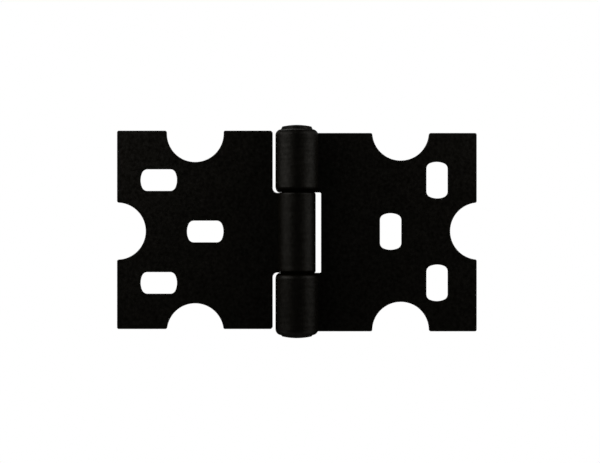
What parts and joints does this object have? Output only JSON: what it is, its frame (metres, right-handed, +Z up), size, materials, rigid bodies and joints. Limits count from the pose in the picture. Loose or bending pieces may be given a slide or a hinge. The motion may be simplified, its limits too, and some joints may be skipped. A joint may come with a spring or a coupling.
{
  "type": "gate hinge",
  "caption": "Heavy black gate hinge lying open flat: scalloped leaves with elongated bolt slots, their rolled knuckles interleaved round a captive headed pin.",
  "frame": {"origin": "on the pin's axis, half way along the pin and level with the middle slot of each leaf", "axes": "+Z up along the pin; +X towards the post leaf, with the hinge open flat; +Y towards the backs of the leaves, so the knuckles stand out at the front, towards -Y"},
  "size_m": [0.1842, 0.0218, 0.1084],
  "materials": {
    "leaf_coat": "satin black powder coat over rolled steel sheet",
    "pin_coat": "satin black powder coat over a steel pin"
  },
  "bodies": {
    "post": {"post_leaf": "leaf_coat", "hinge_pin": "pin_coat"},
    "gate": {"gate_leaf": "leaf_coat"}
  },
  "joints": [
    {"name": "gate_swing", "type": "hinge", "parent": "post", "child": "gate", "pos_m": [0, 0, 0], "axis": [0, 0, 1], "range_deg": [-90, 180]}
  ]
}
